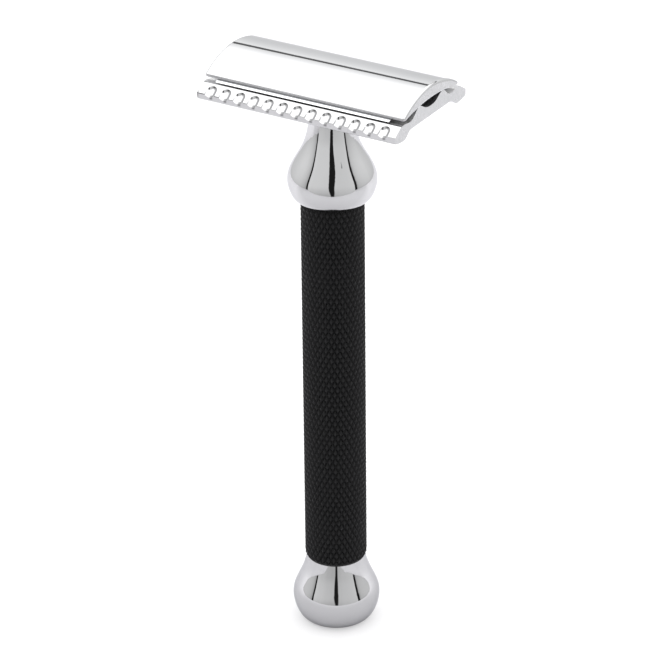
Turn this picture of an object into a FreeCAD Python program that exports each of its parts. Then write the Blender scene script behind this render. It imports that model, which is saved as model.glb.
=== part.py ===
import FreeCAD, Part
import math
import os

# ---------------------------------------------------------------------------
# Three-piece double-edge safety razor with a built-up handle, in millimetres.
# Origin: middle of the round foot of the end knob, on the surface the razor
# stands on.  +Z runs up the handle, X is along the head, Y is across it.
# ---------------------------------------------------------------------------

V = FreeCAD.Vector

# --- head -------------------------------------------------------------------
LIP_Z = 116.15          # datum of the head's section
CAP_LENGTH = 43.0       # covers the blade's end tabs
CAP_HALF_WIDTH = 10.10
CAP_LIP_TOP = 0.24      # upper edge of the long lips, above the datum
CAP_CROWN = 3.32        # crown, above the datum
CAP_EDGE_ROUND = 0.50   # rounding of the outer arc at both ends

BLADE_LENGTH = 42.8
BLADE_EDGE_LENGTH = 37.3
BLADE_WIDTH = 22.0      # measured along the bowed sheet
BLADE_TAB_HALF = 6.6
BLADE_T = 0.10
BOW_CENTRE = -36.94     # height of the bow's axis, from the datum
BOW_R_CAP = 38.00       # underside of the cap
BLADE_GAP = 0.06        # clearance on each face of the blade
BLADE_BEVEL = 0.55      # width of the ground edge

PLATE_LENGTH = 42.6
PLATE_UNDERSIDE = -2.75
GUARD_TIP_Y = 13.15
SCALLOPS = 13
SCALLOP_PITCH = 3.10
SCALLOP_R = 1.70        # ball-nosed cutter
SCALLOP_DEPTH = 0.34    # at the inner end
SCALLOP_FRONT = 0.39    # where it leaves the guard's front

PIN_X = 13.2            # blade locating pins
PIN_R = 1.40
PIN_HOLE_R = 1.55

# --- screw, M5 x 0.8 right-hand ------------------------------------------------
SCREW_R = 2.50
SCREW_ROOT_R = 2.03
SCREW_PITCH = 0.80
SCREW_TIP_Z = 106.95
STUD_HOLE_R = 2.65      # clearance hole in the base plate
INSERT_BORE_R = 2.56
INSERT_R = 3.40
INSERT_BOTTOM_Z = 103.75

# --- handle -------------------------------------------------------------------
SLEEVE_R = 6.12
SLEEVE_BORE_R = 4.60
SPIGOT_R = 4.50
SPIGOT_LENGTH = 6.0
ROD_R = 4.45
ROD_THREAD_R = 3.00     # M6 ends
WASHER_T = 0.30
WASHER_R = 5.70
KNOB_TOP_Z = 13.95
COLLAR_BOTTOM_Z = 91.75
SEAT_GAP = 0.02         # base plate over the neck
FIT = 0.01              # radial allowance of parts fixed in one another

NECK_TOP_Z = LIP_Z + PLATE_UNDERSIDE - SEAT_GAP

# outside of the knob and of the collar, as (radius, height)
KNOB_PROFILE = [
    (5.60, 0.00), (6.48, 0.21), (7.15, 0.75), (7.68, 1.53), (8.12, 2.53),
    (8.49, 3.92), (8.61, 5.35), (8.36, 6.78), (7.78, 8.22), (7.15, 9.65),
    (6.57, 11.08), (6.12, 12.52), (5.76, KNOB_TOP_Z),
]
COLLAR_PROFILE = [
    (6.10, COLLAR_BOTTOM_Z), (6.92, 92.03), (7.62, 92.67), (8.26, 94.00), (8.58, 95.62),
    (8.42, 97.12), (7.86, 98.62), (7.06, 100.12), (6.21, 101.62), (5.49, 103.12),
    (4.97, 104.62), (4.64, 106.12), (4.40, 107.62), (4.22, 109.62), (4.14, 111.55),
    (4.12, NECK_TOP_Z),
]


def at_lip(points):
    """Section points (y, z), z counted from the datum, as vectors in the YZ plane at x = 0."""
    return [V(0, y, LIP_Z + z) for y, z in points]


def arc(a, b, c):
    return Part.Arc(a, b, c).toShape()


def line(a, b):
    return Part.LineSegment(a, b).toShape()


def spline(points, start=None, end=None):
    """A smooth curve through points, which may not double back between any two of them."""
    curve = Part.BSplineCurve()
    if start is None:
        curve.interpolate(points)
    else:
        curve.interpolate(Points=points, Scale=False,
                          InitialTangent=start * (1.0 / start.Length),
                          FinalTangent=end * (1.0 / end.Length))
    knots = [curve.parameter(p) for p in points]
    knots[0], knots[-1] = curve.FirstParameter, curve.LastParameter
    for a, b, u, v in zip(points, points[1:], knots, knots[1:]):
        for i in range(41):
            if curve.tangent(u + (v - u) * i / 40.0)[0].dot(b - a) <= 0:
                raise ValueError("a curve doubles back near %s" % curve.value(u + (v - u) * i / 40.0))
    return curve.toShape()


def extrude_x(edges, length):
    face = Part.Face(Part.Wire(Part.__sortEdges__(edges)))
    body = face.extrude(V(length, 0, 0))
    body.translate(V(-length / 2.0, 0, 0))
    return body


def cyl(r, z0, z1, x=0.0, y=0.0):
    return Part.makeCylinder(r, z1 - z0, V(x, y, z0), V(0, 0, 1))


def on_bow(radius, y):
    """Height of a bow of this radius over the point y, from the datum."""
    return BOW_CENTRE + math.sqrt(radius * radius - y * y)


def save(name, shape):
    if not shape.isValid():
        shape = shape.removeSplitter()
    assert shape.isValid(), name
    for s in shape.Solids:
        assert s.Volume > 0, name
    print("%-20s solids %d  volume %.2f mm3" % (name, len(shape.Solids), shape.Volume))
    shape.exportStep("parts/%s.step" % name)


def solid_of(shape):
    solids = shape.Solids
    assert len(solids) == 1, len(solids)
    return solids[0]


os.makedirs("parts", exist_ok=True)

# === top cap ==================================================================
w = CAP_HALF_WIDTH
wi = CAP_HALF_WIDTH - 0.10
under = on_bow(BOW_R_CAP, wi)
p = at_lip([(-w, CAP_LIP_TOP), (0.0, CAP_CROWN), (w, CAP_LIP_TOP), (wi, under),
            (0.0, on_bow(BOW_R_CAP, 0.0)), (-wi, under)])
cap = extrude_x([arc(p[0], p[1], p[2]), line(p[2], p[3]),
                 arc(p[3], p[4], p[5]), line(p[5], p[0])], CAP_LENGTH)
# the long lip edges are softened, then the arc at each end face
edges = [e for e in cap.Edges
         if abs(e.BoundBox.XLength - CAP_LENGTH) < 1e-3
         and abs(abs(e.BoundBox.YMax) - w) < 1e-3]
edges += [e for e in cap.Edges
          if abs(e.BoundBox.XLength - CAP_LENGTH) < 1e-3
          and abs(abs(e.BoundBox.YMin) - w) < 1e-3 and e not in edges]
cap = cap.makeFillet(0.15, edges)
ends = [e for e in cap.Edges
        if e.BoundBox.XLength < 1e-3 and e.BoundBox.ZMax > LIP_Z + CAP_CROWN - 0.05]
cap = cap.makeFillet(CAP_EDGE_ROUND, ends)
# blind holes for the screw stud and the locating pins
cap_hollow_z = LIP_Z + on_bow(BOW_R_CAP, 0.0)
STUD_SPIGOT_R = 2.10
STUD_SPIGOT_TOP = cap_hollow_z + 1.40
PIN_TOP = cap_hollow_z + 1.20
cap = cap.cut(cyl(STUD_SPIGOT_R + FIT, cap_hollow_z - 1.0, STUD_SPIGOT_TOP + 0.02))
for sx in (-1, 1):
    cap = cap.cut(cyl(PIN_R + FIT, cap_hollow_z - 1.0, PIN_TOP + 0.02, sx * PIN_X))
save("top_cap", solid_of(cap))

# === screw stud, pressed into the cap =============================================
shoulder_z = cap_hollow_z - 0.02
thread_top = LIP_Z - 1.60
shank = cyl(STUD_SPIGOT_R, shoulder_z, STUD_SPIGOT_TOP)
body = cyl(SCREW_R, SCREW_TIP_Z, shoulder_z)
tip = Part.makeCone(SCREW_ROOT_R - 0.15, SCREW_R, 0.62, V(0, 0, SCREW_TIP_Z), V(0, 0, 1))
body = body.common(tip.fuse(cyl(SCREW_R, SCREW_TIP_Z + 0.62, shoulder_z)))
# the helical groove: a V ridge swept round the screw is cut away
groove_from = SCREW_TIP_Z - SCREW_PITCH
groove_height = thread_top - groove_from
helix = Part.makeHelix(SCREW_PITCH, groove_height, SCREW_R)
helix.translate(V(0, 0, groove_from))
flat = 0.05
half_out = 0.36
x_out, x_in = SCREW_R + 0.06, SCREW_ROOT_R
section = Part.makePolygon([
    V(x_out, 0, groove_from - half_out), V(x_in, 0, groove_from - flat),
    V(x_in, 0, groove_from + flat), V(x_out, 0, groove_from + half_out),
    V(x_out, 0, groove_from - half_out)])
groove = Part.Wire(helix.Edges).makePipeShell([section], True, True)
stud = body.cut(groove)
stud = stud.fuse(shank).removeSplitter()
save("cap_stud", solid_of(stud))

# === locating pins, pressed into the cap =========================================
pins = []
pin_bottom = LIP_Z - 2.30
for sx in (-1, 1):
    pin = cyl(PIN_R, pin_bottom, PIN_TOP, sx * PIN_X)
    low = [e for e in pin.Edges if abs(e.BoundBox.ZMax - pin_bottom) < 1e-6]
    pin = pin.makeFillet(0.45, low)
    pins.append(pin)
save("locating_pins", Part.makeCompound(pins))

# === blade, bowed over the plate ===================================================
r_out = BOW_R_CAP - BLADE_GAP
r_in = r_out - BLADE_T
r_mid = (r_out + r_in) / 2.0


def on_blade(radius, along):
    a = along / r_mid
    return (radius * math.sin(a), BOW_CENTRE + radius * math.cos(a))


s1 = BLADE_WIDTH / 2.0
s0 = s1 - BLADE_BEVEL
q = at_lip([on_blade(r_out, -s0), on_blade(r_out, 0), on_blade(r_out, s0),
            on_blade(r_mid + 0.006, s1), on_blade(r_mid - 0.006, s1),
            on_blade(r_in, s0), on_blade(r_in, 0), on_blade(r_in, -s0),
            on_blade(r_mid - 0.006, -s1), on_blade(r_mid + 0.006, -s1)])
sheet = extrude_x([arc(q[0], q[1], q[2]), line(q[2], q[3]), line(q[3], q[4]),
                   line(q[4], q[5]), arc(q[5], q[6], q[7]), line(q[7], q[8]),
                   line(q[8], q[9]), line(q[9], q[0])], BLADE_LENGTH)
# outline in plan: long cutting edges, notched corners, narrower end tabs
yw = r_mid * math.sin(s1 / r_mid) + 1.0
yt = BLADE_TAB_HALF
hx, ex = BLADE_LENGTH / 2.0, BLADE_EDGE_LENGTH / 2.0
notch = 2.6
outline = [(hx, -yt), (hx, yt), (ex - 0.9, yt), (ex - 0.9, yt + 0.9), (ex, yt + notch), (ex, yw),
           (-ex, yw), (-ex, yt + notch), (-(ex - 0.9), yt + 0.9), (-(ex - 0.9), yt), (-hx, yt),
           (-hx, -yt), (-(ex - 0.9), -yt), (-(ex - 0.9), -yt - 0.9), (-ex, -yt - notch), (-ex, -yw),
           (ex, -yw), (ex, -yt - notch), (ex - 0.9, -yt - 0.9), (ex - 0.9, -yt)]
zb = LIP_Z - 6.0
wire = Part.makePolygon([V(x, y, zb) for x, y in outline + outline[:1]])
plan = Part.Face(wire).extrude(V(0, 0, 12.0))
slot = Part.makeBox(2 * 16.4, 1.7, 12.0, V(-16.4, -0.85, zb))
for x, r in ((0.0, 3.10), (PIN_X, 1.60), (-PIN_X, 1.60), (16.4, 1.35), (-16.4, 1.35),
             (7.0, 1.45), (-7.0, 1.45)):
    slot = slot.fuse(cyl(r, zb, zb + 12.0, x))
slot = slot.removeSplitter()
for sx in (-1, 1):          # round punch marks near the ends of the sheet
    plan = plan.cut(cyl(0.75, zb, zb + 12.0, sx * 19.6, 0))
blade = sheet.common(plan.cut(slot))
save("blade", solid_of(blade))

# === base plate with its two scalloped guards =======================================
top = [(0.0, -0.80), (1.2, -0.70), (2.3, -0.32), (3.2, 0.22), (3.75, 0.48), (4.25, 0.57),
       (4.75, 0.46), (5.4, 0.02), (6.1, -0.62), (6.8, -1.04), (7.4, -1.20),
       (8.0, -1.20), (8.7, -1.12), (9.4, -1.02), (10.2, -0.98), (10.93, -1.00)]
slope_start = top[-1]
slope_end = (12.93, -2.26)
full = [(-y, z) for y, z in reversed(top[1:])] + top
crest = spline(at_lip(full), V(0, 1.0, 0.08), V(0, 1.0, -0.08))


def side(s):
    g = at_lip([(s * slope_start[0], slope_start[1]), (s * slope_end[0], slope_end[1]),
                (s * 13.10, -2.38), (s * GUARD_TIP_Y, -2.60),
                (s * GUARD_TIP_Y, -3.30), (s * 13.03, -3.58), (s * 12.70, -3.74),
                (s * 11.6, -3.96), (s * 10.3, -4.08), (s * 9.3, -3.92),
                (s * 8.55, -3.38), (s * 7.90, -2.92), (s * 7.05, PLATE_UNDERSIDE)])
    return [line(g[0], g[1]), arc(g[1], g[2], g[3]), line(g[3], g[4]),
            arc(g[4], g[5], g[6]), spline(g[6:])], g[-1]


right_edges, right_end = side(1)
left_edges, left_end = side(-1)
plate = extrude_x([crest] + right_edges + left_edges + [line(left_end, right_end)],
                  PLATE_LENGTH)

# scallops: a ball-nosed cutter runs down each guard's slope, deeper as it goes, and out of
# its front.  Distances run down the slope from the guard's upper edge.
run = math.hypot(slope_end[0] - slope_start[0], slope_end[1] - slope_start[1])
dy = (slope_end[0] - slope_start[0]) / run
dz = (slope_end[1] - slope_start[1]) / run
inner = 0.50 + math.sqrt(2 * SCALLOP_R * SCALLOP_DEPTH - SCALLOP_DEPTH ** 2)
lift0, lift1 = SCALLOP_R - SCALLOP_DEPTH, SCALLOP_R - SCALLOP_FRONT
ay, az = slope_start[0] + dy * inner - dz * lift0, slope_start[1] + dz * inner + dy * lift0
by, bz = slope_end[0] - dz * lift1, slope_end[1] + dy * lift1
for s in (-1, 1):
    for i in range(SCALLOPS):
        x = (i - (SCALLOPS - 1) / 2.0) * SCALLOP_PITCH
        ball = Part.makeSphere(SCALLOP_R, V(x, s * ay, LIP_Z + az))
        rod = Part.makeCylinder(SCALLOP_R, 4.0, V(x, s * ay, LIP_Z + az),
                                V(0, s * (by - ay), bz - az))
        plate = plate.cut(rod.fuse(ball))

# holes: the stud's clearance hole, two pin holes, four lather slots in the channels
plate = plate.cut(cyl(STUD_HOLE_R, LIP_Z - 6.0, LIP_Z + 2.0))
for sx in (-1, 1):
    plate = plate.cut(cyl(PIN_HOLE_R, LIP_Z - 6.0, LIP_Z + 2.0, sx * PIN_X))
    for sy in (-1, 1):
        x0, x1, y, r = 3.2, 16.6, 7.35, 0.60
        cutter = Part.makeBox(x1 - x0, 2 * r, 8.0, V(min(sx * x0, sx * x1), sy * y - r, LIP_Z - 6.0))
        for x in (x0, x1):
            cutter = cutter.fuse(cyl(r, LIP_Z - 6.0, LIP_Z + 2.0, sx * x, sy * y))
        plate = plate.cut(cutter.removeSplitter())
save("base_plate", solid_of(plate))

# === handle ========================================================================


def turned(outer, inner, tangents=None):
    """A solid of revolution: a smooth outside through (r, z) points, and straight inner lines."""
    pts = [V(r, 0, z) for r, z in outer]
    edges = [spline(pts, *tangents) if tangents else spline(pts)]
    chain = [pts[-1]] + [V(r, 0, z) for r, z in inner] + [pts[0]]
    for a, b in zip(chain, chain[1:]):
        edges.append(line(a, b))
    face = Part.Face(Part.Wire(Part.__sortEdges__(edges)))
    return face.revolve(V(0, 0, 0), V(0, 0, 1), 360.0)


# collar: bulb and neck, a spigot that centres the sleeve, M5 insert seat, M6 socket
spig_low = COLLAR_BOTTOM_Z - SPIGOT_LENGTH
seat_bottom = INSERT_BOTTOM_Z - 0.3
rod_up = spig_low + 11.0
collar = turned(
    COLLAR_PROFILE,
    [(INSERT_R + FIT, NECK_TOP_Z), (INSERT_R + FIT, seat_bottom), (0.0, seat_bottom - 0.9),
     (0.0, rod_up + 0.9), (ROD_THREAD_R + FIT, rod_up + 0.3), (ROD_THREAD_R + FIT, spig_low),
     (SPIGOT_R - 0.3, spig_low), (SPIGOT_R, spig_low + 0.3), (SPIGOT_R, COLLAR_BOTTOM_Z)],
    (V(1.0, 0, 0.16), V(0, 0, 1.0)))
save("handle_collar", solid_of(collar))

# threaded insert: brass bush in the neck; its thread is drawn at its major diameter
insert = cyl(INSERT_R, INSERT_BOTTOM_Z, NECK_TOP_Z - 0.02).cut(
    cyl(INSERT_BORE_R, INSERT_BOTTOM_Z - 1, NECK_TOP_Z + 1))
insert = insert.cut(Part.makeCone(INSERT_BORE_R, INSERT_BORE_R + 0.4, 0.4,
                                  V(0, 0, NECK_TOP_Z - 0.42), V(0, 0, 1)))
save("threaded_insert", solid_of(insert))

# end knob: round foot below, neck and spigot above, M6 socket
spig_high = KNOB_TOP_Z + SPIGOT_LENGTH
rod_down = spig_high - 11.0
knob = turned(
    KNOB_PROFILE,
    [(SPIGOT_R, KNOB_TOP_Z), (SPIGOT_R, spig_high - 0.3), (SPIGOT_R - 0.3, spig_high),
     (ROD_THREAD_R + FIT, spig_high), (ROD_THREAD_R + FIT, rod_down - 0.3),
     (0.0, rod_down - 0.9), (0.0, 0.0)],
    (V(1.0, 0, 0.06), V(-0.24, 0, 1.0)))
save("end_knob", solid_of(knob))

# core rod: plain middle, M6 ends screwed into the collar and the knob
core = cyl(ROD_R, spig_high + 0.05, spig_low - 0.05)
core = core.fuse(cyl(ROD_THREAD_R, rod_down, rod_up)).removeSplitter()
core = core.makeChamfer(0.4, [e for e in core.Edges
                              if abs(e.BoundBox.ZMax - rod_up) < 1e-6
                              or abs(e.BoundBox.ZMin - rod_down) < 1e-6])
save("core_rod", solid_of(core))

# washers under both ends of the sleeve
low_z0, low_z1 = KNOB_TOP_Z, KNOB_TOP_Z + WASHER_T
up_z0, up_z1 = COLLAR_BOTTOM_Z - WASHER_T, COLLAR_BOTTOM_Z
for name, z0, z1 in (("lower_washer", low_z0, low_z1), ("upper_washer", up_z0, up_z1)):
    washer = cyl(WASHER_R, z0, z1).cut(cyl(SPIGOT_R + 0.02, z0 - 1, z1 + 1))
    save(name, solid_of(washer))

# grip sleeve: a tube, knurled outside over its whole length between small chamfers
sleeve = cyl(SLEEVE_R, low_z1, up_z0)
sleeve = sleeve.makeChamfer(0.25, [e for e in sleeve.Edges
                                   if abs(e.BoundBox.ZMax - low_z1) < 1e-6
                                   or abs(e.BoundBox.ZMin - up_z0) < 1e-6])
sleeve = sleeve.cut(cyl(SLEEVE_BORE_R, low_z1 - 1, up_z0 + 1))
save("grip_sleeve", solid_of(sleeve))
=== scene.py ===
import math

import bmesh
import bpy
from mathutils import Matrix, Vector


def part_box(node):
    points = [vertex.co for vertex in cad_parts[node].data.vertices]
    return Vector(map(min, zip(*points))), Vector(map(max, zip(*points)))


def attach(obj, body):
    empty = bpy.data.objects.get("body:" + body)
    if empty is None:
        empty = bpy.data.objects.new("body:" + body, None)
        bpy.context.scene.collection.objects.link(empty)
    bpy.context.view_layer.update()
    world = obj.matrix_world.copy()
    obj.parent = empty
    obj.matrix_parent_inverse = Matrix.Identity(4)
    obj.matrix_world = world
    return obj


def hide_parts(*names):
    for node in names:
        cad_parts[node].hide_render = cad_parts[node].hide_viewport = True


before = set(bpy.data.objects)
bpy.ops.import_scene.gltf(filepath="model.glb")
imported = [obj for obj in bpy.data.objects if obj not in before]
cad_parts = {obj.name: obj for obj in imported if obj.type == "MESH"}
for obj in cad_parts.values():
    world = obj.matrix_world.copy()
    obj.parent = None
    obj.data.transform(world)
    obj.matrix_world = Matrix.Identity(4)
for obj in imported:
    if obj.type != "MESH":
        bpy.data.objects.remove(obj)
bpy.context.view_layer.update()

MM = 0.001
scene = bpy.context.scene

# ---------------------------------------------------------------------------
# Sizes repeated from the CAD model, in millimetres
# ---------------------------------------------------------------------------
LIP_Z = 116.15
SLEEVE_R = 6.12
SLEEVE_Z0, SLEEVE_Z1 = [c.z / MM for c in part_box("grip_sleeve")]
SLEEVE_BORE_R = 4.60
SLEEVE_CHAMFER = 0.26

# knurl: 34 grooves each way, crossing every 2.12 mm along the sleeve
KNURL_N = 34
KNURL_RISE = 2.12
KNURL_DEPTH = 0.34
KNURL_STEPS = 8
SCALLOP_PITCH = 3.10

CAMERA_AZ = math.radians(31.22)


# ---------------------------------------------------------------------------
# Node helpers
# ---------------------------------------------------------------------------
def new_material(name):
    m = bpy.data.materials.new(name)
    m.use_nodes = True
    m.node_tree.nodes.clear()
    return m, m.node_tree


def add(tree, kind, **values):
    node = tree.nodes.new(kind)
    for key, value in values.items():
        if key in ("operation", "data_type", "blend_type", "noise_dimensions",
                   "wave_type", "bands_direction", "distribution", "clamp", "interpolation_type",
                   "feature", "use_clamp"):
            setattr(node, key, value)
        else:
            node.inputs[key.replace("_", " ")].default_value = value
    return node


def math_node(tree, op, a, b=None, clamp=False):
    n = tree.nodes.new("ShaderNodeMath")
    n.operation = op
    n.use_clamp = clamp
    for i, v in enumerate((a, b)):
        if v is None:
            continue
        if isinstance(v, (int, float)):
            n.inputs[i].default_value = v
        else:
            tree.links.new(v, n.inputs[i])
    return n.outputs[0]


def remap(tree, value, a, b, c, d):
    n = tree.nodes.new("ShaderNodeMapRange")
    n.inputs["From Min"].default_value = a
    n.inputs["From Max"].default_value = b
    n.inputs["To Min"].default_value = c
    n.inputs["To Max"].default_value = d
    tree.links.new(value, n.inputs["Value"])
    return n.outputs["Result"]


def mix_colour(tree, factor, a, b):
    n = tree.nodes.new("ShaderNodeMix")
    n.data_type = "RGBA"
    for socket, v in ((n.inputs[0], factor), (n.inputs[6], a), (n.inputs[7], b)):
        if isinstance(v, (int, float, tuple)):
            socket.default_value = v
        else:
            tree.links.new(v, socket)
    return n.outputs[2]


def object_coords(tree, scale=(1, 1, 1)):
    co = tree.nodes.new("ShaderNodeTexCoord")
    m = tree.nodes.new("ShaderNodeMapping")
    m.inputs["Scale"].default_value = scale
    tree.links.new(co.outputs["Object"], m.inputs["Vector"])
    return m.outputs["Vector"]


def noise(tree, scale, detail=3.0, rough=0.5, stretch=(1, 1, 1)):
    n = tree.nodes.new("ShaderNodeTexNoise")
    n.inputs["Scale"].default_value = scale
    n.inputs["Detail"].default_value = detail
    n.inputs["Roughness"].default_value = rough
    tree.links.new(object_coords(tree, stretch), n.inputs["Vector"])
    return n.outputs["Fac"]


def bump(tree, height, strength, distance):
    n = tree.nodes.new("ShaderNodeBump")
    n.inputs["Strength"].default_value = strength
    n.inputs["Distance"].default_value = distance
    tree.links.new(height, n.inputs["Height"])
    return n.outputs["Normal"]


def finish_material(tree, shader):
    out = tree.nodes.new("ShaderNodeOutputMaterial")
    tree.links.new(shader.outputs[0], out.inputs["Surface"])


# ---------------------------------------------------------------------------
# Materials
# ---------------------------------------------------------------------------
def chrome(name, tint=(0.545, 0.547, 0.553), satin_ends=False, polish=(1, 1, 1), inside=None):
    """Bright chrome plate over a polished casting: a faint ripple from polishing, hairline
    wipe marks, and a slight haze that varies over the surface. The cut end faces are satin.
    The side that faces into the head is rougher, and its colour is painted light and shade: painted shade
    near the middle, a bright band of painted light further out and mid grey at the edge. inside is "below"
    for the cap and "above" for the plate, whose scallops also get a painted dark reflection along their rims."""
    m, t = new_material(name)
    p = t.nodes.new("ShaderNodeBsdfPrincipled")
    p.inputs["Metallic"].default_value = 1.0
    p.inputs["Specular Tint"].default_value = (0.76, 0.765, 0.775, 1.0)
    haze = noise(t, 90.0, 4.0, 0.55)
    hair = noise(t, 2600.0, 2.0, 0.6, polish)
    dark = tuple(c * 0.965 for c in tint) + (1.0,)
    light = tuple(min(1.0, c * 1.02) for c in tint) + (1.0,)
    colour = mix_colour(t, remap(t, haze, 0.35, 0.65, 0.0, 1.0), dark, light)
    rough = math_node(t, "ADD", remap(t, haze, 0.3, 0.7, 0.018, 0.034),
                      remap(t, hair, 0.55, 0.8, 0.0, 0.018))
    ripple = math_node(t, "ADD", math_node(t, "MULTIPLY", noise(t, 420.0, 1.0, 0.4), 1.0),
                       math_node(t, "MULTIPLY", hair, 0.10))
    height = ripple
    if satin_ends:
        g = t.nodes.new("ShaderNodeNewGeometry")
        tc = t.nodes.new("ShaderNodeTexCoord")
        s = t.nodes.new("ShaderNodeSeparateXYZ")
        t.links.new(tc.outputs["Normal"], s.inputs[0])
        ends = remap(t, math_node(t, "ABSOLUTE", s.outputs["X"]), 0.90, 0.985, 0.0, 1.0)
        grain = noise(t, 1500.0, 4.0, 0.65, (1, 1, 0.5))
        satin = remap(t, grain, 0.3, 0.7, 0.24, 0.36)
        rough = math_node(t, "ADD", math_node(t, "MULTIPLY", rough, math_node(t, "SUBTRACT", 1.0, ends)),
                          math_node(t, "MULTIPLY", satin, ends))
        colour = mix_colour(t, math_node(t, "MULTIPLY", ends, remap(t, grain, 0.3, 0.7, 0.3, 0.5)),
                            colour, (0.43, 0.44, 0.43, 1.0))
        height = math_node(t, "ADD", ripple, math_node(t, "MULTIPLY", ends, math_node(t, "MULTIPLY", grain, 0.8)))
    if inside:
        at = t.nodes.new("ShaderNodeSeparateXYZ")
        t.links.new(tc.outputs["Object"], at.inputs[0])
        across = math_node(t, "ABSOLUTE", at.outputs["Y"])
        if inside == "below":
            hidden = remap(t, s.outputs["Z"], -0.02, -0.12, 0.0, 1.0)
        else:
            hidden = math_node(t, "MULTIPLY", remap(t, s.outputs["Z"], 0.10, 0.25, 0.0, 1.0),
                               remap(t, across, 0.01075, 0.01060, 0.0, 1.0))
        inner_noise = noise(t, 700.0, 4.0, 0.6)
        rough = math_node(t, "ADD", math_node(t, "MULTIPLY", rough, math_node(t, "SUBTRACT", 1.0, hidden)),
                          math_node(t, "MULTIPLY", hidden, remap(t, inner_noise, 0.3, 0.7, 0.42, 0.56)))
        # painted light and shade on the inner faces: dark painted shade within 4.5 mm of the middle, a bright band of
        # painted light from 6.5 to 9.2 mm, mid grey beyond 9.8 mm
        colour = mix_colour(t, math_node(t, "MULTIPLY", hidden, remap(t, inner_noise, 0.3, 0.7, 0.8, 1.0)),
                            colour, mix_colour(t, remap(t, across, 0.0045, 0.0065, 0.0, 1.0),
                                               (0.16, 0.16, 0.165, 1.0),
                                               mix_colour(t, remap(t, across, 0.0092, 0.0098, 0.0, 1.0),
                                                          (0.92, 0.92, 0.92, 1.0), (0.50, 0.50, 0.51, 1.0))))
        if inside == "above":
            # painted dark reflection along the scallop rims, set by how far each surface leans away from the guard's
            # slope
            # how far the surface leans away from the guard's slope
            lean = math_node(t, "ADD",
                             math_node(t, "MULTIPLY", math_node(t, "ABSOLUTE", s.outputs["Y"]), 0.530),
                             math_node(t, "MULTIPLY", s.outputs["Z"], 0.848))
            rim = math_node(t, "MULTIPLY", remap(t, lean, 0.975, 0.86, 0.0, 1.0),
                            math_node(t, "MULTIPLY", remap(t, s.outputs["X"], 0.30, 0.0, 0.12, 1.0),
                                      remap(t, s.outputs["X"], -0.45, -0.15, 0.55, 1.0)))
            slope = math_node(t, "MULTIPLY", remap(t, across, 0.01090, 0.01096, 0.0, 1.0),
                              remap(t, across, 0.01292, 0.01286, 0.0, 1.0))
            slope = math_node(t, "MULTIPLY", slope, remap(t, s.outputs["Z"], 0.2, 0.3, 0.0, 1.0))
            # painted dark reflection where each scallop runs out at the lower edge
            place_ = math_node(t, "SUBTRACT",
                               math_node(t, "FRACT", math_node(t, "ADD", math_node(
                                   t, "DIVIDE", at.outputs["X"], SCALLOP_PITCH * MM), 0.5)), 0.5)
            spot = remap(t, math_node(t, "ABSOLUTE", math_node(t, "SUBTRACT", place_, 0.10)), 0.15, 0.05, 0.0, 1.0)
            spot = math_node(t, "MULTIPLY", spot, remap(t, across, 0.01262, 0.01282, 0.0, 0.8))
            spot = math_node(t, "MULTIPLY", spot, remap(t, at.outputs["Z"], (LIP_Z - 3.35) * MM,
                                                        (LIP_Z - 3.05) * MM, 0.0, 1.0))
            painted_reflection = math_node(t, "MAXIMUM", math_node(t, "MULTIPLY", rim, slope), spot)
            # painted dark reflection: the scallop rims and run-outs are mixed toward near black
            colour = mix_colour(t, math_node(t, "MULTIPLY", painted_reflection, 0.84), colour, (0.05, 0.05, 0.052, 1.0))
    t.links.new(colour, p.inputs["Base Color"])
    t.links.new(rough, p.inputs["Roughness"])
    t.links.new(bump(t, height, 0.10, 0.00002), p.inputs["Normal"])
    finish_material(t, p)
    return m


def blade_steel():
    """Rolled strip, brushed along its length, with a brighter ground bevel along each edge."""
    m, t = new_material("blade_steel")
    p = t.nodes.new("ShaderNodeBsdfPrincipled")
    p.inputs["Metallic"].default_value = 1.0
    s = t.nodes.new("ShaderNodeSeparateXYZ")
    tc = t.nodes.new("ShaderNodeTexCoord")
    t.links.new(tc.outputs["Object"], s.inputs[0])
    across = math_node(t, "ABSOLUTE", s.outputs["Y"])
    ground = remap(t, across, 0.01028, 0.01034, 0.0, 1.0)
    lines = noise(t, 900.0, 4.0, 0.7, (0.05, 1.0, 1.0))
    cross = noise(t, 2200.0, 3.0, 0.6, (1.0, 0.06, 1.0))
    body = mix_colour(t, remap(t, lines, 0.3, 0.7, 0.0, 1.0), (0.56, 0.57, 0.59, 1), (0.68, 0.69, 0.70, 1))
    edge = mix_colour(t, remap(t, cross, 0.3, 0.7, 0.0, 1.0), (0.74, 0.75, 0.76, 1), (0.86, 0.87, 0.88, 1))
    t.links.new(mix_colour(t, ground, body, edge), p.inputs["Base Color"])
    t.links.new(remap(t, lines, 0.3, 0.7, 0.13, 0.24), p.inputs["Roughness"])
    t.links.new(bump(t, lines, 0.15, 0.00001), p.inputs["Normal"])
    finish_material(t, p)
    return m


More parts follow.
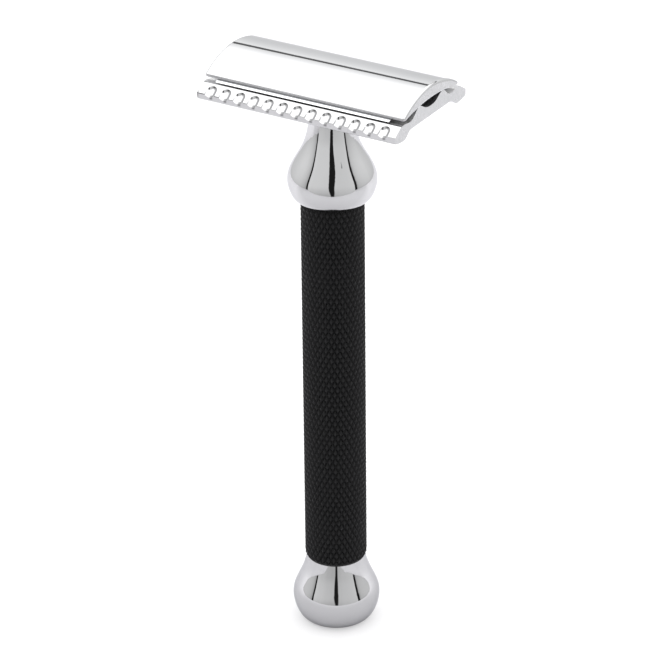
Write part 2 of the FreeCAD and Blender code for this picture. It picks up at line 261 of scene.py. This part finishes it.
def black_anodised():
    """Black anodised aluminium: dark in the grooves, rubbed a shade lighter and smoother
    on the tips of the knurl, with a little tone variation along the sleeve."""
    m, t = new_material("sleeve_black")
    p = t.nodes.new("ShaderNodeBsdfPrincipled")
    p.inputs["Metallic"].default_value = 0.0
    p.inputs["IOR"].default_value = 1.45
    s = t.nodes.new("ShaderNodeSeparateXYZ")
    tc = t.nodes.new("ShaderNodeTexCoord")
    t.links.new(tc.outputs["Object"], s.inputs[0])
    xx = math_node(t, "MULTIPLY", s.outputs["X"], s.outputs["X"])
    yy = math_node(t, "MULTIPLY", s.outputs["Y"], s.outputs["Y"])
    radius = math_node(t, "SQRT", math_node(t, "ADD", xx, yy))
    tips = remap(t, radius, (SLEEVE_R - 0.09) * MM, SLEEVE_R * MM, 0.0, 1.0)
    patch = noise(t, 160.0, 4.0, 0.6)
    grain = noise(t, 6000.0, 2.0, 0.6)
    dark = mix_colour(t, remap(t, patch, 0.35, 0.65, 0.0, 1.0), (0.0026, 0.0026, 0.0030, 1), (0.0040, 0.0039, 0.0043, 1))
    worn = mix_colour(t, remap(t, grain, 0.3, 0.7, 0.0, 1.0), (0.0040, 0.0040, 0.0045, 1), (0.0068, 0.0068, 0.0071, 1))
    t.links.new(mix_colour(t, math_node(t, "MULTIPLY", tips, remap(t, patch, 0.3, 0.7, 0.45, 1.0)), dark, worn),
                p.inputs["Base Color"])
    rough = math_node(t, "SUBTRACT", remap(t, patch, 0.3, 0.7, 0.46, 0.56), math_node(t, "MULTIPLY", tips, 0.05))
    t.links.new(rough, p.inputs["Roughness"])
    p.inputs["Specular IOR Level"].default_value = 0.26
    t.links.new(bump(t, grain, 0.25, 0.00001), p.inputs["Normal"])
    finish_material(t, p)
    return m


def turned_metal(name, a, b, rough_a, rough_b, ring=5200.0):
    """Turned bar: fine lathe rings up the axis over a mottled tone."""
    m, t = new_material(name)
    p = t.nodes.new("ShaderNodeBsdfPrincipled")
    p.inputs["Metallic"].default_value = 1.0
    rings = noise(t, ring, 2.0, 0.6, (0.01, 0.01, 1.0))
    tone = noise(t, 220.0, 3.0, 0.55)
    t.links.new(mix_colour(t, remap(t, tone, 0.3, 0.7, 0.0, 1.0), a, b), p.inputs["Base Color"])
    t.links.new(remap(t, rings, 0.3, 0.7, rough_a, rough_b), p.inputs["Roughness"])
    t.links.new(bump(t, rings, 0.25, 0.00001), p.inputs["Normal"])
    finish_material(t, p)
    return m


def nylon():
    m, t = new_material("washer_black")
    p = t.nodes.new("ShaderNodeBsdfPrincipled")
    fine = noise(t, 3000.0, 3.0, 0.6)
    t.links.new(mix_colour(t, remap(t, fine, 0.3, 0.7, 0.0, 1.0), (0.012, 0.012, 0.012, 1), (0.022, 0.022, 0.022, 1)),
                p.inputs["Base Color"])
    t.links.new(remap(t, fine, 0.3, 0.7, 0.5, 0.65), p.inputs["Roughness"])
    t.links.new(bump(t, fine, 0.2, 0.00001), p.inputs["Normal"])
    finish_material(t, p)
    return m


cap_chrome = chrome("cap_chrome", satin_ends=True, polish=(0.04, 1, 1), inside="below")
plate_chrome = chrome("plate_chrome", satin_ends=True, polish=(0.04, 1, 1), inside="above")
handle_chrome = chrome("handle_chrome", polish=(1, 1, 0.05))
pin_chrome = chrome("pin_chrome", tint=(0.53, 0.533, 0.54), polish=(1, 1, 0.05))
materials = {
    "top_cap": cap_chrome,
    "base_plate": plate_chrome,
    "handle_collar": handle_chrome,
    "end_knob": handle_chrome,
    "locating_pins": pin_chrome,
    "blade": blade_steel(),
    "cap_stud": turned_metal("stud_steel", (0.50, 0.51, 0.52, 1), (0.60, 0.60, 0.61, 1), 0.16, 0.30),
    "threaded_insert": turned_metal("insert_brass", (0.62, 0.44, 0.18, 1), (0.74, 0.56, 0.27, 1), 0.18, 0.32),
    "core_rod": turned_metal("rod_steel", (0.46, 0.47, 0.48, 1), (0.56, 0.56, 0.57, 1), 0.20, 0.34),
    "lower_washer": nylon(),
    "upper_washer": bpy.data.materials["washer_black"],
}
sleeve_black = black_anodised()
for name, material in materials.items():
    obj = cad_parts[name]
    for slot_ in obj.material_slots:
        slot_.material = material
    if not obj.material_slots:
        obj.data.materials.append(material)


# ---------------------------------------------------------------------------
# The grip sleeve with its diamond knurl, as real geometry
# ---------------------------------------------------------------------------
def knurled_sleeve():
    """Two families of V grooves cross on the sleeve. The mesh runs along both helices, so each
    groove and each ridge lies on a mesh edge; s counts half steps round, d half steps up."""
    k, n = KNURL_STEPS, KNURL_N
    period = 2 * n * k
    low, high = SLEEVE_Z0, SLEEVE_Z1
    normal_pitch = (2 * math.pi * SLEEVE_R / n) * math.cos(
        math.atan(2 * math.pi * SLEEVE_R / n / KNURL_RISE))
    step_z = KNURL_RISE / (2 * k)
    first = -2
    last = int(math.ceil((high - low) / step_z)) + 2
    bm = bmesh.new()
    verts = {}

    def groove(q):
        f = abs(q / k - round(q / k)) * normal_pitch
        return max(0.0, KNURL_DEPTH - f)

    def vertex(s, d):
        s %= period
        if (s, d) not in verts:
            u, v = (s + d) / 2, (s - d) / 2
            depth = max(groove(u), groove(v))
            z = low + d * step_z
            edge = min(z - low, high - z)
            r = min(SLEEVE_R - depth, SLEEVE_R - SLEEVE_CHAMFER + max(edge, 0.0))
            a = 2 * math.pi * s / period
            verts[s, d] = bm.verts.new((r * MM * math.cos(a), r * MM * math.sin(a), z * MM))
        return verts[s, d]

    for d in range(first, last + 1):
        for s in range(0, period, 1):
            if (s + d) % 2:
                continue
            bm.faces.new((vertex(s, d), vertex(s + 1, d - 1), vertex(s + 2, d), vertex(s + 1, d + 1)))
    for z, direction in ((low, -1), (high, 1)):
        geom = bm.verts[:] + bm.edges[:] + bm.faces[:]
        bmesh.ops.bisect_plane(bm, geom=geom, dist=1e-7, plane_co=(0, 0, z * MM),
                               plane_no=(0, 0, direction), clear_outer=True)
    loops = []
    for z in (low, high):
        rim = [e for e in bm.edges if e.is_boundary and abs(e.verts[0].co.z - z * MM) < 2e-7
               and abs(e.verts[1].co.z - z * MM) < 2e-7]
        made = bmesh.ops.extrude_edge_only(bm, edges=rim)["geom"]
        for v in made:
            if isinstance(v, bmesh.types.BMVert):
                r = math.hypot(v.co.x, v.co.y)
                v.co.x *= SLEEVE_BORE_R * MM / r
                v.co.y *= SLEEVE_BORE_R * MM / r
                v.co.z = z * MM
        loops += [e for e in made if isinstance(e, bmesh.types.BMEdge)]
    bmesh.ops.bridge_loops(bm, edges=loops)
    bmesh.ops.recalc_face_normals(bm, faces=bm.faces[:])
    mesh = bpy.data.meshes.new("grip_knurl")
    bm.to_mesh(mesh)
    bm.free()
    mesh.materials.append(sleeve_black)
    obj = bpy.data.objects.new("grip_knurl", mesh)
    scene.collection.objects.link(obj)
    return obj


grip = knurled_sleeve()
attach(grip, "handle")
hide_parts("grip_sleeve")


# ---------------------------------------------------------------------------
# Stage: a white table in a light tent. A flat front board has the opening for the lens and
# stands between two narrow side openings; a round wall and a bright roof close the rest.
# The camera doesn't see the tent.
# ---------------------------------------------------------------------------
BOARD_DIST = 0.229
BOARD_LEFT, BOARD_RIGHT, BOARD_TOP = -0.440, 0.353, 0.620
WALL_R = 0.700
WALL_TOP, ROOF_BOTTOM, ROOF_TOP = 0.4385, 0.4948, 0.900
EXPOSURE = 1.064

FRONT = Vector((math.sin(CAMERA_AZ), -math.cos(CAMERA_AZ), 0.0))
SIDE = Vector((math.cos(CAMERA_AZ), math.sin(CAMERA_AZ), 0.0))


def steps(table, x):
    """Straight-line table look-up."""
    if x <= table[0][0]:
        return table[0][1]
    for (x0, y0), (x1, y1) in zip(table, table[1:]):
        if x <= x1:
            return y0 + (y1 - y0) * (x - x0) / (x1 - x0)
    return table[-1][1]


def ease(a, b, x):
    t = min(1.0, max(0.0, (x - a) / (b - a)))
    return t * t * (3 - 2 * t)


BOARD_HIGH = [(-65, 1.06), (-57, 1.05), (-51, 1.02), (-30, 1.015), (-12, 1.01), (12, 0.95), (15, 0.935), (30, 0.94),
              (42, 0.945), (51, 0.97), (57, 0.985)]
BOARD_LOW = [(-65, 0.88), (-57, 0.87), (-51, 0.83), (-42, 0.81), (-30, 0.715), (-21, 0.695), (-15, 0.665),
             (-12, 0.66), (12, 0.715), (15, 0.745), (21, 0.78), (30, 0.79), (42, 0.83), (57, 0.86)]
OPENING_LEFT = [(0, -6), (25, -11), (60, -18), (100, -28), (150, -34), (400, -36)]
OPENING_RIGHT = [(0, 9), (25, 10), (60, 13), (120, 15), (170, 19), (210, 26), (250, 33), (400, 35)]
OPENING_SOFT = [(0, 14), (60, 12), (110, 7), (400, 6)]
BOARD_RISE = [(25, 0.0), (60, 0.35), (95, 0.55), (125, 0.82), (160, 1.0)]


def board_light(x, z):
    """Front board: x to the right and z up, in metres."""
    az = math.degrees(math.atan(x / BOARD_DIST))
    x, z = x / MM, z / MM
    up_ = steps(BOARD_RISE, z)
    value = steps(BOARD_LOW, az) * (1 - up_) + steps(BOARD_HIGH, az) * up_
    # the lens opening: narrow at the table, wider above
    if x < 0:
        core = steps(OPENING_LEFT, z)
        open_ = ease(core, core - steps(OPENING_SOFT, z), x)
    else:
        core = steps(OPENING_RIGHT, z)
        open_ = ease(core, core + steps(OPENING_SOFT, z), x)
    value = 0.018 + (value - 0.018) * open_
    return value * EXPOSURE


WALL_ROUND = [(-180, 1.02), (-150, 1.0), (-135, 1.0), (-120, 1.05), (-105, 1.06), (-90, 1.0), (-81, 0.90), (-75, 0.82),
              (-69, 0.62), (-67.6, 0.50), (-67.4, 0.018), (-57, 0.018), (57, 0.018), (63.3, 0.018), (63.5, 0.50),
              (66, 0.70), (69, 0.79), (75, 0.85), (81, 0.90), (90, 0.95), (105, 1.01), (120, 0.99), (135, 0.96),
              (150, 0.97), (180, 1.02)]
WALL_SIDE_RISE = [(0, 0.86), (0.05, 0.91), (0.095, 0.95), (0.15, 0.98), (0.320, 1.07), (0.44, 1.10)]
WALL_REAR_RISE = [(0, 1.02), (0.12, 1.04), (0.24, 1.13), (0.31, 1.21), (0.39, 1.36), (0.44, 1.40)]


def wall_light(az, z):
    """Round wall: az from the front, in degrees."""
    rear = ease(118, 150, abs(az))
    rise = steps(WALL_SIDE_RISE, z) * (1 - rear) + steps(WALL_REAR_RISE, z) * rear
    return steps(WALL_ROUND, az) * rise * EXPOSURE


def upper_side(az, z):
    """How far the side walls and their openings still reach at this height, from 1 to 0."""
    return (1 - ease(84, 104, abs(az))) * (1 - ease(0.560, 0.640, z))


def ring_light(az, z):
    """Between the wall and the roof: a dark gap at the rear that closes towards the sides."""
    rear = 0.20 + (1.30 - 0.20) * (1 - ease(112, 128, abs(az)))
    side = upper_side(az, z)
    return rear * (1 - side) + wall_light(az, WALL_TOP) * side


def roof_light(az, z):
    low = 1.36
    roof = low + (2.15 - low) * ease(ROOF_BOTTOM - 0.02, ROOF_BOTTOM + 0.20, z)
    side = upper_side(az, z)
    return roof * (1 - side) + wall_light(az, WALL_TOP) * side


def glowing(name, columns, rows, place, light, closed=False):
    """A sheet of points with its own light at each point, which the camera doesn't see."""
    mesh = bpy.data.meshes.new(name)
    verts = [place(c, r) for r in rows for c in columns]
    n = len(columns)
    faces = []
    for j in range(len(rows) - 1):
        for i in range(n if closed else n - 1):
            k = (i + 1) % n
            faces.append((j * n + i, j * n + k, (j + 1) * n + k, (j + 1) * n + i))
    mesh.from_pydata(verts, [], faces)
    values = mesh.attributes.new("light", "FLOAT", "POINT")
    values.data.foreach_set("value", [light(c, r) for r in rows for c in columns])
    obj = bpy.data.objects.new(name, mesh)
    scene.collection.objects.link(obj)
    m, t = new_material(name)
    e = t.nodes.new("ShaderNodeEmission")
    a_ = t.nodes.new("ShaderNodeAttribute")
    a_.attribute_name = "light"
    t.links.new(a_.outputs["Fac"], e.inputs["Strength"])
    e.inputs["Color"].default_value = (1.0, 1.0, 1.0, 1.0)
    finish_material(t, e)
    mesh.materials.append(m)
    obj.visible_camera = False
    obj.visible_shadow = False
    return obj


def board_point(x, z):
    p_ = FRONT * BOARD_DIST + SIDE * x
    return (p_.x, p_.y, z)


def wall_point(az, z, r=WALL_R):
    a_ = CAMERA_AZ + math.radians(az)
    return (r * math.sin(a_), -r * math.cos(a_), z)


def roof_point(az, z):
    up_ = (z - ROOF_BOTTOM) / (ROOF_TOP - ROOF_BOTTOM)
    return wall_point(az, z, WALL_R * math.sqrt(max(0.0, 1 - up_ * up_)) + 1e-4)


centre = [i * 0.001 for i in range(-60, 61)]
board_columns = ([BOARD_LEFT + (-0.060 - BOARD_LEFT) * i / 20 for i in range(20)] + centre
                 + [0.060 + (BOARD_RIGHT - 0.060) * i / 16 for i in range(1, 17)])
board_rows = [0.005 * i for i in range(61)] + [0.32, 0.34, 0.36, 0.40, 0.50, BOARD_TOP]
glowing("tent_board", board_columns, board_rows, board_point, board_light)

wall_columns = sorted(set([float(v) for v in range(-180, 180, 3)] + [-67.6, -67.4, -68.2, 62.5, 63.3, 63.5, 64.2]))
wall_rows = [0, 0.05, 0.095, 0.15, 0.20, 0.25, 0.30, 0.35, 0.40, WALL_TOP]
glowing("tent_wall", wall_columns, wall_rows, wall_point, wall_light, closed=True)
ring_columns = sorted(set([float(v) for v in range(-180, 180, 4)]
                          + [-68.2, -67.6, -67.4, -57.0, 57.0, 62.5, 63.3, 63.5, 64.2]))
glowing("tent_gap", ring_columns, [WALL_TOP, ROOF_BOTTOM], wall_point, ring_light, closed=True)
roof_rows = [ROOF_BOTTOM + (ROOF_TOP - ROOF_BOTTOM) * math.sin(math.pi / 2 * i / 18) for i in range(19)]
glowing("tent_roof", ring_columns, roof_rows, roof_point, roof_light, closed=True)


def sheet(name, radius, z, material):
    mesh = bpy.data.meshes.new(name)
    rings = [radius * (i / 24) ** 1.5 for i in range(1, 25)]
    verts = [(0.0, 0.0, z)]
    for r in rings:
        verts += [(r * math.cos(2 * math.pi * i / 96), r * math.sin(2 * math.pi * i / 96), z) for i in range(96)]
    faces = [(0, 1 + i, 1 + (i + 1) % 96) for i in range(96)]
    for j in range(len(rings) - 1):
        for i in range(96):
            k = (i + 1) % 96
            faces.append((1 + j * 96 + i, 1 + (j + 1) * 96 + i, 1 + (j + 1) * 96 + k, 1 + j * 96 + k))
    mesh.from_pydata(verts, [], faces)
    mesh.materials.append(material)
    obj = bpy.data.objects.new(name, mesh)
    scene.collection.objects.link(obj)
    return obj


def floor_paint(name, near, far_, emit, emit_far):
    """White table top: fine fibre, near colour in front and far colour behind the object (a darker near colour
    is painted shade in front, a lighter far colour painted light behind), and a little light of its own, emit
    close to the object and emit_far 120 mm away, so a weaker glow close by is painted shade."""
    m, t = new_material(name)
    d = t.nodes.new("ShaderNodeBsdfDiffuse")
    tc = t.nodes.new("ShaderNodeTexCoord")
    mp = t.nodes.new("ShaderNodeMapping")
    mp.inputs["Rotation"].default_value = (0.0, 0.0, -CAMERA_AZ)
    t.links.new(tc.outputs["Object"], mp.inputs["Vector"])
    s = t.nodes.new("ShaderNodeSeparateXYZ")
    t.links.new(mp.outputs["Vector"], s.inputs[0])
    behind = remap(t, s.outputs["Y"], -0.015, 0.060, 0.0, 1.0)
    fibre = noise(t, 900.0, 3.0, 0.6)
    # painted shade in front of the object and painted light behind it, where near is darker than far_
    colour = mix_colour(t, behind, near, far_)
    lighter = mix_colour(t, math_node(t, "MULTIPLY", fibre, 0.04), colour, (1.0, 1.0, 1.0, 1.0))
    t.links.new(lighter, d.inputs["Color"])
    e = t.nodes.new("ShaderNodeEmission")
    e.inputs["Color"].default_value = (1.0, 0.995, 1.0, 1.0)
    distance = t.nodes.new("ShaderNodeVectorMath")
    distance.operation = "LENGTH"
    t.links.new(tc.outputs["Object"], distance.inputs[0])
    # painted shade: the glow is weaker within 30 mm of the object, rising to emit_far at 120 mm
    t.links.new(remap(t, distance.outputs["Value"], 0.03, 0.12, emit, emit_far), e.inputs["Strength"])
    both = t.nodes.new("ShaderNodeAddShader")
    t.links.new(d.outputs[0], both.inputs[0])
    t.links.new(e.outputs[0], both.inputs[1])
    finish_material(t, both)
    return m


# one sheet is the table as the lens sees it, the other as the polished metal mirrors it, with painted shade in front
# of the object and painted light behind it
table = sheet("table", 4.0, -0.00004, floor_paint("table_top", (0.50, 0.50, 0.505, 1), (0.50, 0.50, 0.505, 1),
                                           0.45, 0.50))
table.visible_glossy = False
# painted shade and light: the mirrored table is darker in front of the object than behind it and glows less close to
# the object
mirrored = sheet("table_mirrored", 0.70, 0.0, floor_paint("table_mirrored", (0.645, 0.638, 0.66, 1),
                                                          (0.83, 0.82, 0.845, 1), 0.05, 0.17))
mirrored.visible_camera = False
mirrored.visible_diffuse = False
mirrored.visible_shadow = False

world = bpy.data.worlds.new("world")
scene.world = world
world.use_nodes = True
wt = world.node_tree
wt.nodes.clear()
wb = wt.nodes.new("ShaderNodeBackground")
wb.inputs["Color"].default_value = (1.0, 1.0, 1.0, 1.0)
wb.inputs["Strength"].default_value = 1.0
wo = wt.nodes.new("ShaderNodeOutputWorld")
wt.links.new(wb.outputs[0], wo.inputs["Surface"])

scene.view_settings.view_transform = "Standard"
scene.view_settings.look = "None"
scene.view_settings.exposure = 0.0
scene.view_settings.gamma = 1.0

# ---------------------------------------------------------------------------
# Camera: long lens, 680 mm away, 31 degrees round to the right and 27 degrees up
# ---------------------------------------------------------------------------
DIST, EL, ROLL = 0.680, math.radians(27.134), math.radians(-0.618)
AIM_RIGHT, AIM_Z = -0.739 * MM, (LIP_Z - 52.53) * MM
FOCAL_PX = 3527.6
a, e = CAMERA_AZ, EL
back = Vector((math.sin(a) * math.cos(e), -math.cos(a) * math.cos(e), math.sin(e)))
right = Vector((math.cos(a), math.sin(a), 0.0))
up = back.cross(right)
cam_x = math.cos(ROLL) * right + math.sin(ROLL) * up
cam_y = -math.sin(ROLL) * right + math.cos(ROLL) * up
place = Vector((0, 0, AIM_Z)) + right * AIM_RIGHT + back * DIST
camera_data = bpy.data.cameras.new("camera")
camera_data.sensor_width = 36.0
camera_data.lens = FOCAL_PX / 660.0 * 36.0
camera_data.clip_start = 0.01
camera_data.clip_end = 10.0
camera = bpy.data.objects.new("camera", camera_data)
camera.matrix_world = Matrix((
    (cam_x.x, cam_y.x, back.x, place.x),
    (cam_x.y, cam_y.y, back.y, place.y),
    (cam_x.z, cam_y.z, back.z, place.z),
    (0, 0, 0, 1)))
scene.collection.objects.link(camera)
scene.camera = camera

bpy.context.view_layer.update()
